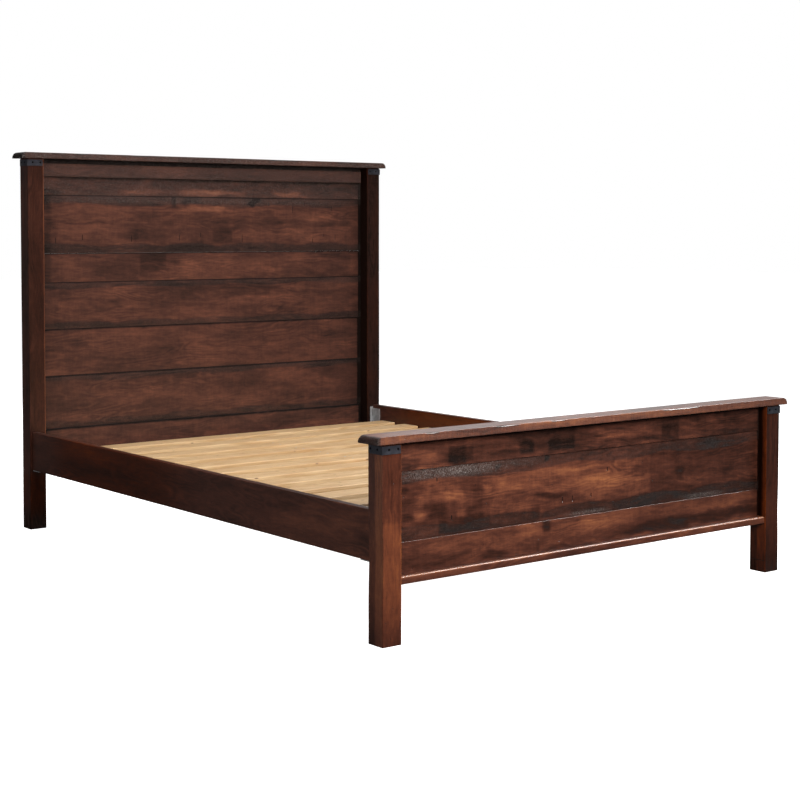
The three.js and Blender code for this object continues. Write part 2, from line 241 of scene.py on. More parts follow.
class Shader(NodeTree):
    """A material's nodes about its Principled surface."""

    def __init__(self, name):
        self.material = bpy.data.materials.new(name)
        super().__init__(self.material)
        self.surface = self.nodes["Principled BSDF"]

    def set(self, label, value):
        """Links an output to an input of the surface, or sets a plain value on it."""
        self.put(value, self.surface.inputs[label])

    def position(self):
        """The place on the object, moved by a different step for each piece of wood."""
        place = self.node("ShaderNodeTexCoord").outputs["Object"]
        seed = self.attribute("grain_seed", "OBJECT")
        step = self.node("ShaderNodeCombineXYZ", {0: seed, 1: seed, 2: seed})
        shift = self.vector("MULTIPLY", step.outputs[0], (3.1, 7.3, 5.7))
        return self.vector("ADD", place, shift)

    def grain(self, place, axis, along, across):
        """Texture places that stretch a pattern along the grain, which runs along the axis."""
        scales = tuple(along if letter == axis else across for letter in "xyz")
        return self.vector("MULTIPLY", place, scales)

    def bump(self, height, distance):
        inputs = {"Height": height, "Distance": distance}
        self.set("Normal", self.node("ShaderNodeBump", inputs).outputs["Normal"])


MAPLE_STAIN = [
    (0.00, linear(20, 9, 6)),
    (0.22, linear(49, 26, 19)),
    (0.42, linear(77, 43, 33)),
    (0.60, linear(107, 62, 45)),
    (0.78, linear(137, 84, 56)),
    (1.00, linear(170, 108, 68)),
]
GREYER_STAIN = [
    (0.00, linear(18, 12, 10)),
    (0.22, linear(46, 31, 27)),
    (0.42, linear(71, 45, 38)),
    (0.60, linear(97, 60, 48)),
    (0.78, linear(124, 79, 60)),
    (1.00, linear(156, 104, 78)),
]
WEAR_AND_SHEEN_GREY = [(0.36, linear(50, 42, 40)), (0.54, linear(92, 83, 80)), (0.72, linear(168, 160, 158))]
MARK_BROWN = linear(12, 8, 7)
CHOP_EDGE = (0.9 * MM, 2.2 * MM)  # a chop is full up to the first and gone past the second
HOLE_EDGE = (0.02, 0.04)  # the same for a worm hole, in parts of its cell
HOLES_LEFT_OUT = 0.8  # the share of cells without a hole


def chop_marks(sh, chops):
    """Short cuts across the grain of the panels at listed spots (x, z, half length), in mm."""
    place = sh.node("ShaderNodeTexCoord").outputs["Object"]
    split = sh.node("ShaderNodeSeparateXYZ", {0: place}).outputs
    result = 0
    for x, z, half in chops:
        across = sh.math("ABSOLUTE", sh.math("SUBTRACT", split[0], x * MM))
        along = sh.math("ABSOLUTE", sh.math("SUBTRACT", split[2], z * MM))
        cut = sh.times(
            sh.band(across, *CHOP_EDGE, 1, 0),
            sh.band(along, half * MM * 0.8, half * MM, 1, 0),
        )
        result = sh.math("MAXIMUM", cut, result)
    return result


def worm_holes(sh, place, axis):
    """A few round holes scattered over the faces that run along the grain."""
    split = sh.node("ShaderNodeSeparateXYZ", {0: place}).outputs
    run, rise = {"x": (0, 2), "y": (1, 2), "z": (2, 0)}[axis]
    flat = sh.node("ShaderNodeCombineXYZ", {0: split[run], 1: split[rise]}).outputs[0]
    cells = sh.node("ShaderNodeTexVoronoi", {"Vector": flat, "Scale": 24}, voronoi_dimensions="2D")
    chance = sh.node("ShaderNodeSeparateColor", {0: cells.outputs["Color"]}).outputs[0]
    holes = sh.band(cells.outputs["Distance"], *HOLE_EDGE, 1, 0)
    return sh.times(holes, sh.math("GREATER_THAN", chance, HOLES_LEFT_OUT))


def maple_tone(sh, along_grain, base, mottle, curl_depth):
    """Where on the staining ramp each point lies: clouds, blotches, growth rings, fibre and curl."""
    cloud = sh.centred_noise(along_grain(4, 16), 0.17 * mottle, detail=4, roughness=0.6)
    blotch = sh.centred_noise(along_grain(30, 70), 0.17 * mottle, detail=4, roughness=0.7)
    contour = sh.noise(along_grain(1.6, 13), detail=2, distortion=0.4)
    rings = sh.math("SINE", sh.times(contour, 90))
    rings = sh.times(rings, sh.band(sh.noise(along_grain(3, 9)), 0.35, 0.65, 0, 0.07))
    fibre = sh.centred_noise(along_grain(26, 300), 0.20, detail=4, roughness=0.8)
    curl = sh.centred_noise(along_grain(110, 14), curl_depth, roughness=0.7)
    return sh.total(base, sh.attribute("stain"), cloud, blotch, rings, fibre, curl)


def stained_maple(name, stops, axis="x", base=0.5, mottle=1, saw_marks=0, curl_depth=0.09, chops=()):
    """Stained and lacquered maple: cloudy staining, curly figure along the grain, fine pores, a few
    worm holes and chop marks. The mesh's stain value makes it lighter or darker, as real staining
    and as painted shade and painted highlights; its worn value greyer and rougher, as real wear and
    as painted sheen and sparkle; and its warmth value a richer red-brown, which also deepens painted
    shade."""
    sh = Shader(name)
    place = sh.position()
    wander = sh.noise(place, 7, detail=2, roughness=0.5, output="Color")
    wander = sh.vector("MULTIPLY", sh.vector("SUBTRACT", wander, (0.5, 0.5, 0.5)), (0.03, 0.03, 0.03))
    bent = sh.vector("ADD", place, wander)

    def along_grain(along, across):
        return sh.grain(bent, axis, along, across)

    value = maple_tone(sh, along_grain, base, mottle, curl_depth)
    richness = sh.total(1, sh.attribute("warmth"))
    stained = {"Saturation": richness, "Color": sh.ramp(value, stops)}
    colour = sh.node("ShaderNodeHueSaturation", stained).outputs[0]
    worn = sh.attribute("worn")
    # Grey specks where the worn value is high: real wear, and painted sheen and sparkle.
    speck = sh.noise(sh.vector("MULTIPLY", place, (330, 330, 330)), roughness=0.7)
    share = sh.times(worn, sh.band(speck, 0.3, 0.6, 0.55, 1))
    colour = sh.mix(share, colour, sh.ramp(speck, WEAR_AND_SHEEN_GREY))
    marks = worm_holes(sh, place, axis)
    if chops:
        marks = sh.math("MAXIMUM", marks, chop_marks(sh, chops))
    colour = sh.mix(sh.times(marks, 0.9), colour, MARK_BROWN)
    sh.set("Base Color", colour)

    dull = sh.band(value, 0, 0.2, 0.4, 0)
    grain_gloss = sh.centred_noise(along_grain(30, 120), 0.07)
    sh.set("Roughness", sh.total(0.40, dull, grain_gloss, sh.times(worn, 0.12)))
    sh.set("Specular IOR Level", 0.35)
    sh.set("Coat Weight", sh.band(value, 0, 0.2, 0, 0.10))
    sh.set("Coat Roughness", 0.22)

    height = sh.total(
        sh.times(sh.noise(along_grain(18, 420)), 0.16),
        sh.times(sh.noise(along_grain(9, 60), detail=2), 0.25),
        sh.times(marks, -1.2),
        sh.times(sh.times(worn, speck), 1.6),
    )
    if saw_marks:
        teeth = sh.noise(sh.grain(place, axis, 260, 8), detail=2)
        height = sh.total(height, sh.times(teeth, saw_marks))
    sh.bump(height, 0.9 * MM)
    return sh.material


def pine(name, axis, light, dark):
    """Plain planed pine with straight growth lines, soft figure and small knots."""
    sh = Shader(name)
    place = sh.position()
    stretched = sh.grain(place, axis, 1.1, 26)
    lines = sh.math("SINE", sh.times(sh.noise(stretched, detail=1, distortion=0.3), 60))
    fine = sh.noise(sh.grain(place, axis, 12, 500))
    cloud = sh.noise(sh.grain(place, axis, 3, 9))
    cells = sh.grain(place, axis, 2.6, 9)
    knots = sh.node("ShaderNodeTexVoronoi", {"Vector": cells}).outputs["Distance"]
    knot = sh.band(knots, 0.05, 0.13, 1, 0)
    value = sh.total(sh.times(lines, 0.16), sh.times(fine, 0.35), sh.times(cloud, 0.5))
    colour = sh.ramp(value, [(0.15, light), (0.75, dark)])
    colour = sh.mix(sh.times(knot, 0.85), colour, linear(104, 66, 40))
    sh.set("Base Color", colour)
    sh.set("Roughness", sh.total(0.58, sh.times(fine, 0.15)))
    sh.bump(sh.total(sh.times(fine, 0.5), sh.times(lines, 0.12)), 0.6 * MM)
    return sh.material


def metal(name, dark, light, roughness, hammered, metallic, specular=0.5):
    """Metal with cloudy tone, fine grit and shallow hammer marks."""
    sh = Shader(name)
    place = sh.position()
    cloud = sh.noise(place, scale=60, detail=4)
    grit = sh.noise(place, scale=900, detail=2)
    dents = sh.noise(place, scale=120, detail=1)
    colour = sh.ramp(sh.total(sh.times(cloud, 0.8), sh.times(grit, 0.2)), [(0.3, dark), (0.7, light)])
    sh.set("Base Color", colour)
    sh.set("Metallic", metallic)
    sh.set("Specular IOR Level", specular)
    cloudy = sh.times(sh.math("SUBTRACT", cloud, 0.5), 0.25)
    sh.set("Roughness", sh.total(roughness, cloudy))
    sh.bump(sh.total(sh.times(dents, hammered), sh.times(grit, 0.15)), 0.6 * MM)
    return sh.material


def nylon(name):
    """Black moulded nylon with a fine grain."""
    sh = Shader(name)
    grain = sh.noise(sh.position(), scale=1400, detail=2)
    colour = sh.ramp(grain, [(0.3, linear(20, 20, 21)), (0.7, linear(34, 34, 36))])
    sh.set("Base Color", colour)
    sh.set("Roughness", sh.total(0.48, sh.times(grain, 0.15)))
    sh.bump(grain, 0.2 * MM)
    return sh.material


HEAD_CHOPS = [
    (-675, 1066, 12), (-565, 1078, 12), (-358, 1072, 14), (-143, 1090, 4), (-145, 1076, 12),
    (-50, 1086, 9), (145, 1072, 16), (545, 1084, 7), (606, 1075, 12), (275, 1212, 10),
    (325, 1218, 7), (391, 1190, 16), (449, 1213, 9), (525, 1220, 5), (586, 1195, 12),
    (490, 1062, 10),
]
FOOT_CHOPS = [(-135, 325, 8), (-95, 324, 9), (-20, 328, 6), (48, 398, 7), (-604, 427, 6), (-552, 318, 7)]

DECK_PINE = (linear(206, 172, 128), linear(172, 130, 86))  # the light and the dark of its grain
SLAT_PINE = (linear(222, 190, 146), linear(190, 148, 100))
CAP_LOOK = dict(saw_marks=0.8, curl_depth=0.2)

MATERIALS = {
    "foot_panel": stained_maple("foot_panel_maple", MAPLE_STAIN, chops=FOOT_CHOPS),
    "head_panel": stained_maple("head_panel_maple", GREYER_STAIN, chops=HEAD_CHOPS),
    "foot_cap": stained_maple("foot_cap_maple", MAPLE_STAIN, mottle=1.2, **CAP_LOOK),
    "head_cap": stained_maple("head_cap_maple", GREYER_STAIN, base=0.48, mottle=0.7, **CAP_LOOK),
    "head_trim": stained_maple("head_trim_maple", GREYER_STAIN, mottle=0.6),
    "foot_trim": stained_maple("foot_trim_maple", MAPLE_STAIN, mottle=0.6),
    "post": stained_maple("post_maple", MAPLE_STAIN, "z", 0.52, mottle=0.8, curl_depth=0.05),
    "rail": stained_maple("rail_maple", MAPLE_STAIN, "y", 0.4, mottle=0.45, curl_depth=0.05),
    "slat": pine("slat_pine", "x", *SLAT_PINE),
    "deck": pine("deck_pine_y", "y", *DECK_PINE),
    "leg": pine("deck_pine_z", "z", *DECK_PINE),
    "iron": metal("black_iron", linear(34, 35, 40), linear(62, 63, 72), 0.45, 0.7, 0.25, specular=1),
    "nail": metal("nail_iron", linear(10, 10, 11), linear(24, 24, 26), 0.5, 0.5, 0.5),
    "zinc": metal("zinc_steel", linear(158, 160, 163), linear(202, 203, 205), 0.36, 0.1, 0.5),
    "nylon": nylon("leveller_nylon"),
}


# ---- Stain and painted shade on the boards, placed one by one ----
# Patches and blocks are in mm, with runs from the bed's middle and rises from the floor. Their
# amounts are in hundredths, of the staining ramp or of full wear and sheen. Those noted below paint
# shade and sparkle.
def patch_sum(run, rise, patches):
    """Adds soft-edged patches (middle run, middle rise, half run, half rise, amount)."""
    total = 0
    for middle_run, middle_rise, half_run, half_rise, amount in patches:
        reach_run = np.abs(run - middle_run * MM) / (half_run * MM)
        reach_rise = np.abs(rise - middle_rise * MM) / (half_rise * MM)
        total += amount / 100 * np.exp(-(reach_run**4) - reach_rise**4)
    return total


def soft_step(value, edge):
    """From 0 below nought to 1 above it, over a few edges."""
    return 1 / (1 + np.exp(-np.clip(value / edge, -30, 30)))


def stretch(value, start, stop, edge):
    """1 between start and stop and 0 past them, with soft ends."""
    return soft_step(value - start, edge) * soft_step(stop - value, edge)


def block_sum(run, rise, blocks):
    """Adds patches with crisp ends and softer long sides (start, stop, bottom, top, amount)."""
    total = 0
    for start, stop, bottom, top, amount in blocks:
        ends = stretch(run, start * MM, stop * MM, 1.5 * MM)
        sides = stretch(rise, bottom * MM, top * MM, 2.4 * MM)
        total += amount / 100 * ends * sides
    return total


STAVE_RISE = 56 * MM  # the glued staves of a board, up it
STAVE_RUN = 310 * MM  # and along it


def board_stain_and_shade(run, rise, seed, patches=(), blocks=(), figure=1.0):
    """Cloudy, streaky staining over glued staves, plus the patches and blocks of that board, some
    of which are painted shade. figure is how strongly its streaks and flames show."""
    bent_run = run + 0.022 * fractal(run * 9, rise * 26, seed + 40, 3)
    bent_rise = rise + 0.006 * fractal(run * 14, rise * 30, seed + 50, 3)
    stave = np.floor(rise / STAVE_RISE)
    stagger = run / STAVE_RUN + 0.7 * stave + 0.13 * seed
    tone = lattice(np.floor(stagger), stave, seed) - 0.5
    cloud = 0.08 * fractal(bent_run * 5, bent_rise * 24, seed + 60)
    streak = 0.045 * fractal(bent_run * 11, bent_rise * 95, seed + 70, 3)
    slanted = bent_rise + 0.10 * bent_run
    flame = 0.05 * fractal(bent_run * 16, slanted * 130, seed + 80, 2)
    placed = patch_sum(bent_run, bent_rise, patches) + block_sum(run, bent_rise, blocks)
    return cloud + figure * (streak + flame) + 0.06 * tone + placed


FOOT_TOP = dict(
    tone=-0.17,
    figure=1.8,
    sheen_grey=0.05,
    patches=[
        (-640, 492, 80, 16, 4), (-605, 484, 36, 9, 9), (-690, 470, 34, 8, -20),
        (-455, 486, 50, 22, 2), (-350, 478, 40, 9, -10), (-400, 505, 60, 9, -6),
        (-305, 515, 40, 12, -10), (-60, 506, 46, 16, -10), (-20, 478, 60, 12, 6),
        (60, 494, 70, 14, 7), (110, 482, 70, 6, -16), (190, 474, 70, 7, -20),
        (210, 500, 60, 12, 2), (420, 495, 60, 24, 5), (620, 500, 110, 30, -2),
        # These two, just under the cap, are painted shade from its overhang.
        (-150, 528, 240, 12, -12), (330, 530, 120, 10, -8),
    ],
    blocks=[
        (-563, -500, 463, 512, -24), (-500, -474, 470, 506, -10), (-301, -246, 466, 505, -27),
        (-190, -88, 470, 512, -24), (280, 356, 464, 516, -20), (437, 480, 462, 522, -7),
        (-90, -62, 462, 500, -6), (560, 575, 462, 530, -5),
    ],
)
FOOT_MIDDLE = dict(
    tone=-0.02,
    hewn=(36, 37),
    # Rough hewn patches: really rougher, and painted grey as sparkle along the top band and as the pale
    # highlight line at the bottom joint.
    rough_and_sparkle_patches=[
        (-605, 447, 120, 15, 46), (-475, 445, 84, 17, 38), (-335, 448, 110, 12, 18),
        (-30, 277, 80, 6, 45), (470, 278, 84, 7, 45),
    ],
    patches=[
        (-80, 412, 110, 10, 16), (-310, 372, 120, 18, 14), (-90, 370, 120, 18, 10),
        (60, 352, 90, 30, 14), (-250, 398, 180, 20, 5), (-330, 335, 110, 14, 6),
        (-655, 333, 24, 12, 26), (-520, 330, 24, 12, 24), (-550, 378, 48, 16, 18),
        (-610, 348, 26, 24, -16), (-450, 338, 50, 18, -8), (-700, 370, 30, 60, -8),
        (-180, 340, 52, 8, -22), (-90, 325, 60, 6, -8), (212, 396, 38, 14, -16),
        (130, 408, 70, 8, 10), (352, 356, 18, 22, -16), (590, 366, 34, 30, -10),
        (480, 330, 130, 16, 3), (500, 390, 120, 14, 1), (-383, 442, 11, 10, -30),
        (-194, 449, 14, 9, -34), (495, 446, 48, 16, -20), (620, 440, 110, 14, -12),
        (320, 446, 60, 12, -8), (-600, 415, 120, 10, 4),
    ],
    blocks=[
        (-596, -413, 274, 314, -25), (-413, -225, 274, 312, -15), (-250, 70, 280, 306, -7),
        (70, 400, 272, 309, -20), (400, 608, 272, 311, -20), (608, 722, 272, 312, -24),
        (230, 722, 312, 428, -14), (-722, -440, 312, 436, -10),
    ],
)
FOOT_LOWER = dict(
    tone=-0.06,
    edge_highlight=True,
    patches=[
        (-410, 196, 52, 12, -24), (-110, 186, 110, 5, -18), (0, 236, 150, 22, 12),
        (-260, 246, 50, 18, 12), (-500, 248, 130, 14, 6), (-600, 205, 90, 16, -4),
        (300, 204, 140, 19, -30), (170, 192, 60, 8, -16), (490, 204, 70, 16, -18),
        (630, 208, 100, 19, -26), (440, 248, 200, 14, 3), (-680, 225, 40, 30, -5),
    ],
    blocks=[(-212, -184, 233, 272, -24), (-236, -226, 180, 212, -12)],
)
HEAD_1 = dict(
    tone=-0.11,
    sheen_grey=0.18,
    patches=[
        (-310, 1251, 100, 9, 26), (-50, 1254, 90, 12, 32), (70, 1251, 90, 9, 30),
        (375, 1251, 80, 9, 26), (-700, 1252, 44, 12, -22), (-560, 1276, 130, 22, -3),
        (-180, 1284, 90, 14, -14), (240, 1284, 150, 14, -10), (600, 1272, 130, 28, -6),
        (-450, 1290, 120, 10, -5), (480, 1290, 60, 12, -4),
    ],
    blocks=[
        # The two blocks from -740 to 740 are painted shade: the black recess under the cap, and the shadow
        # under the top rail.
        (225, 245, 1268, 1302, 5), (-740, 740, 1354, 1380, -70),
        (-740, 740, 1300, 1312, -40),
    ],
)
HEAD_2 = dict(
    tone=-0.04,
    hewn=(34, 36),
    # Rough hewn patches along the top band: really rougher, and painted greyer as sheen.
    rough_and_sparkle_patches=[(-300, 1222, 420, 14, 18), (350, 1220, 300, 12, 15)],
    patches=[
        (-80, 1218, 46, 15, -20), (202, 1226, 20, 12, -42), (208, 1212, 12, 10, -30),
        (0, 1189, 95, 11, 26), (-420, 1186, 240, 12, 10), (-160, 1180, 90, 14, 8),
        (518, 1160, 108, 16, 16), (280, 1172, 110, 18, 6), (680, 1165, 40, 24, -10),
        (-530, 1108, 130, 18, 10), (-480, 1072, 120, 10, 6), (-250, 1092, 96, 30, -12),
        (-560, 1134, 120, 4, -16), (-90, 1090, 70, 34, -3), (400, 1088, 270, 24, 9),
        (300, 1135, 200, 8, -8), (620, 1130, 90, 10, -12), (-700, 1110, 24, 90, -6),
        (-380, 1034, 330, 13, -14), (330, 1032, 400, 12, -8),
    ],
    blocks=[
        (-178, -160, 1202, 1236, -26), (6, 98, 1052, 1102, -14),
        (-345, -330, 1066, 1125, -8), (-760, -694, 1000, 1260, -10),
    ],
)
HEAD_3 = dict(
    tone=-0.075,
    patches=[
        (-400, 985, 60, 26, -8), (80, 965, 220, 36, 8), (-120, 960, 60, 36, 6),
        (420, 965, 200, 34, 4), (-600, 950, 100, 36, 6), (-560, 1008, 130, 5, -12),
        (330, 932, 90, 10, -8), (0, 992, 150, 5, -6), (700, 960, 24, 44, 6),
    ],
    blocks=[(-320, -205, 950, 1014, -14), (-760, -694, 900, 1040, -10)],
)
HEAD_4 = dict(
    tone=-0.06,
    hewn=(24, 24),
    patches=[(-500, 830, 200, 40, 6), (120, 800, 260, 50, 4), (480, 860, 160, 30, -6)],
)


# ---- Boards of the headboard and footboard ----
# edge is the radius of a board's long edges, joint_tone how much darker they are, hewn_depth how
# deep the hewn bands are, and tongue where the front and back of the tongues lie.
PANELS = {
    "foot": dict(edge=0.7 * MM, joint_tone=0.14, hewn_depth=2.4 * MM, tongue=(-1076 * MM, -1066 * MM)),
    "head": dict(edge=0.5 * MM, joint_tone=0.6, hewn_depth=1 * MM, tongue=(1093 * MM, 1101 * MM)),
}
BOARD_GAP = 0.3 * MM
END_SHADE = 36 * MM  # the stretch that darkens towards each post
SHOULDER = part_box("head_top_rail")[1].x  # where the boards meet the posts, from the bed's middle
HAIR = 0.02 * MM  # between two rings that make a sharp step
SCALLOPS = (300 * MM, 440 * MM)  # how long the scallops of the low band and the high one are


def scallops(run, seed, length):
    """The uneven edge of a hewn band, as a share of its height: long shallow arcs, side by side."""
    drift = 0.6 * soft_noise(run * 2.3, 0 * run, seed)
    return 0.72 + 0.42 * np.abs(np.sin(math.pi * run / length + drift + seed))


def hewn_share(run, rise, bottom, top, heights, seed):
    """From 0 to 1 across the hewn bands, 1 at the board's edge. heights are those of the low band
    and the high one, in mm."""
    if not heights:
        return 0 * rise
    low_band = heights[0] * MM * scallops(run, seed, SCALLOPS[0])
    high_band = heights[1] * MM * scallops(run, seed + 5, SCALLOPS[1])
    below = np.clip(1 - (rise - bottom) / low_band, 0, 1)
    above = np.clip(1 - (top - rise) / high_band, 0, 1)
    return np.maximum(below, above)


def make_board(node, top, end, seed, patches=(), blocks=(), hewn=None, rough_and_sparkle_patches=(), tone=0.0,
               edge_highlight=False, figure=1.0, sheen_grey=0.0):
    """A panel board: a wavy front with eased edges, hewn bands along them where asked, and thin
    tongues past its shoulders. Where asked, its top edge is painted pale as a highlight, and grey
    is a painted sheen that greys and roughens all of it."""
    low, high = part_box(node)
    front, back, bottom = low.y, high.y, low.z
    middle = (front + back) / 2
    panel = PANELS[end]
    edge = panel["edge"]

    def shape(run, depth, rise):
        share = np.clip((middle - depth) / (middle - front), 0, 1)
        wave = swell(run * 5.5, rise * 14, seed + 20)
        ripple = 0.5 + 0.5 * fractal(run * 45, rise * 60, seed + 30, 2) / 1.5
        rough = patch_sum(run, rise, rough_and_sparkle_patches)
        inward = 0.5 * MM * wave + 0.15 * MM * ripple + 0.7 * MM * ripple * rough
        inward += panel["hewn_depth"] * hewn_share(run, rise, bottom, top, hewn, seed)
        in_post = np.abs(run) > SHOULDER + HAIR / 2
        return run, np.where(in_post, np.clip(depth, *panel["tongue"]), depth + inward * share), rise

    def colour(run, depth, rise):
        in_band = np.clip(hewn_share(run, rise, bottom, top, hewn, seed) * 14, 0, 1)
        near_end = np.clip((np.abs(run) - SHOULDER + END_SHADE) / END_SHADE, 0, 1)
        in_groove = np.abs(run) > SHOULDER - 1 * MM
        at_top = rise > top - edge - 0.1 * MM
        in_joint = np.maximum(at_top, rise < bottom + 0.5 * edge)
        stain = tone + board_stain_and_shade(run, rise, seed, patches, blocks, figure) - 0.17 * in_band
        # Painted shade: darker towards each post, and very dark over the tongues that sit in the shaded
        # gap beside the posts.
        stain -= 0.09 * near_end + 0.9 * in_groove
        # Greyer and rougher in the hewn bands and rough patches, as real wear and painted sparkle, and all
        # over by the grey share, as painted sheen.
        worn = sheen_grey + 0.07 * in_band + patch_sum(run, rise, rough_and_sparkle_patches)
        if edge_highlight:
            # Painted highlight: the top edge is made pale where it catches the light.
            worn += 0.1 * at_top
        else:
            stain -= panel["joint_tone"] * in_joint
        return {"stain": stain, "worn": np.clip(worn, 0, 1)}

    fine = (4.5 if patches else 10) * MM
    tip = high.x
    front_stations = spaced(-SHOULDER, SHOULDER, fine)
    stations = np.concatenate([[-tip, -SHOULDER - HAIR], front_stations, [SHOULDER + HAIR, tip]])
    spacings = [6 * MM, 20 * MM, 6 * MM, 0.8 * fine]
    ring = eased_ring((front, bottom), (back, top), [edge] * 4, spacings)
    sweep(node, "_board", "x", stations, ring, end + "_panel", seed, shape, colour)


def make_panel(end, boards, first_seed):
    """All the boards of a panel, from the bottom up, each one reaching up to the next."""
    tops = [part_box(node)[0].z - BOARD_GAP for node, _ in boards[1:]]
    tops.append(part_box(boards[-1][0])[1].z)
    for i, ((node, settings), top) in enumerate(zip(boards, tops)):
        make_board(node, top, end, first_seed + 7 * i, **settings)


FOOT_BOARDS = [
    ("foot_plank_lower", FOOT_LOWER),
    ("foot_plank_middle", FOOT_MIDDLE),
    ("foot_plank_top", FOOT_TOP),
]
HEAD_BOARDS = [
    ("head_bottom_rail", dict(tone=-0.05)),
    ("head_plank_6", dict(tone=-0.05, hewn=(24, 24))),
    ("head_plank_5", dict(tone=-0.05)),
    ("head_plank_4", HEAD_4),
    ("head_plank_3", HEAD_3),
    ("head_plank_2", HEAD_2),
    ("head_plank_1", HEAD_1),
]


# ---- Posts, caps, rails and trim ----
POST_SEAM = 33 * MM  # from a post's front to the glue line on its outer side
POST_EDGE = 1.3 * MM  # the radius of its long edges
POST_END_EASE = 0.8 * MM  # how far the rims of its ends are drawn in
PALE_EDGE_WIDTH = 3.2 * MM  # of the pale strip down a post's inner front edge
UNDER_RAIL = 205 * MM  # the height below which the head posts lie in the rails' shade
CAP_END_RADII = (13 * MM, 18 * MM)  # how far its left end and its right one are rounded down
CAP_EDGE_RADII = (2 * MM, 2 * MM, 11 * MM, 1.2 * MM)
CHIP_EASE = 0.8 * MM  # how far its front edge is eased where it has no chip
RAIL_WARM_END = 850 * MM  # from the bed's middle


def make_post(node, seed, dips, tone=0.0, inner_tone=0.0, steps=(), pale_edge=0.15, layers=(0.10, -0.12)):
    """A post whose outer side is scraped hollow in shallow dips (height, half height, depth). steps
    are stretches with a tone of their own (start, stop, amount), rubbed is how much paler the inner
    front edge is, and layers are the tones of the front and back halves of the outer side."""
    low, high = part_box(node)
    middle = ((low.x + high.x) / 2, (low.y + high.y) / 2)
    side = math.copysign(1, middle[0])
    half = (high.x - low.x) / 2
    at_foot = low.y < 0

    def shape(rise, across, along):
        hollow = 0.24 * MM * swell(rise * 7, 0 * rise, seed)
        for height, half_height, depth in dips:
            hollow += depth * MM * np.exp(-(((rise - height * MM) / (half_height * MM)) ** 2))
        outer = np.clip(side * (across - middle[0]) / half, 0, 1) ** 3
        front = np.clip((middle[1] - along) / half, 0, 1) ** 3
        moved = across - side * hollow * outer
        scraped = along + 0.25 * MM * swell(rise * 9, across * 20, seed + 3) * front
        ease = POST_END_EASE * ((rise <= low.z) | (rise >= high.z))
        moved = moved - ease * np.sign(moved - middle[0])
        return rise, moved, scraped - ease * np.sign(scraped - middle[1])

    def colour(rise, across, along):
        outward = side * (across - middle[0])
        on_side = np.abs(outward) > half - 1.0 * MM
        at_front = along < low.y + 1.2 * MM
        at_inner = outward < -half + 1.2 * MM
        at_outer = on_side & ~at_inner
        tones = tone + 0.07 * fractal(rise * 5, (across + along) * 14, seed + 8)
        tones += on_side * np.where(along > low.y + POST_SEAM, layers[1], layers[0])
        # Painted shade: the inner side goes dark from 15 mm behind the front, in the recess beside the
        # panel, above the moulding; inner_tone shifts the whole inner side, and its darker values on the
        # head posts are painted shade as well.
        recess_shade = soft_step(along - low.y - 15 * MM, 2 * MM) * (rise > 160 * MM)
        tones += at_inner * (inner_tone - 0.5 * recess_shade)
        tones -= 0.16 * np.exp(-((rise / (75 * MM)) ** 2))
        for start, stop, amount in steps:
            tones += amount * stretch(rise, start * MM, stop * MM, 2 * MM) * ~on_side
        # Paler down the inner front edge.
        tones += pale_edge * (at_front & (outward < -half + PALE_EDGE_WIDTH))
        tones -= 0.25 * (at_outer & at_front)
        shaded = (at_front | on_side) * (not at_foot) * soft_step(UNDER_RAIL - rise, 3 * MM)
        # Painted shade: the inner sides, and the head posts below the rails, are made a deeper, richer
        # red-brown; the foot posts' fronts get a little of it too.
        warmth = 0.18 * np.maximum(at_inner, shaded) + 0.06 * at_front * at_foot
        # Painted sheen: the outer sides are greyer above 300 mm, most on the foot posts.
        upper = soft_step(rise - 300 * MM, 60 * MM)
        worn = (0.14 if at_foot else 0.04) * at_outer * upper
        return {"stain": tones, "warmth": warmth, "worn": worn}

    heights = spaced(low.z + POST_END_EASE, high.z - POST_END_EASE, 9 * MM)
    stations = np.concatenate([[low.z], heights, [high.z]])
    spacings = [2 * MM, 5 * MM, 5 * MM, 5 * MM]
    ring = eased_ring(low.xy, high.xy, [POST_EDGE] * 4, spacings)
    sweep(node, "_timber", "z", stations, ring, "post", seed, shape, colour)


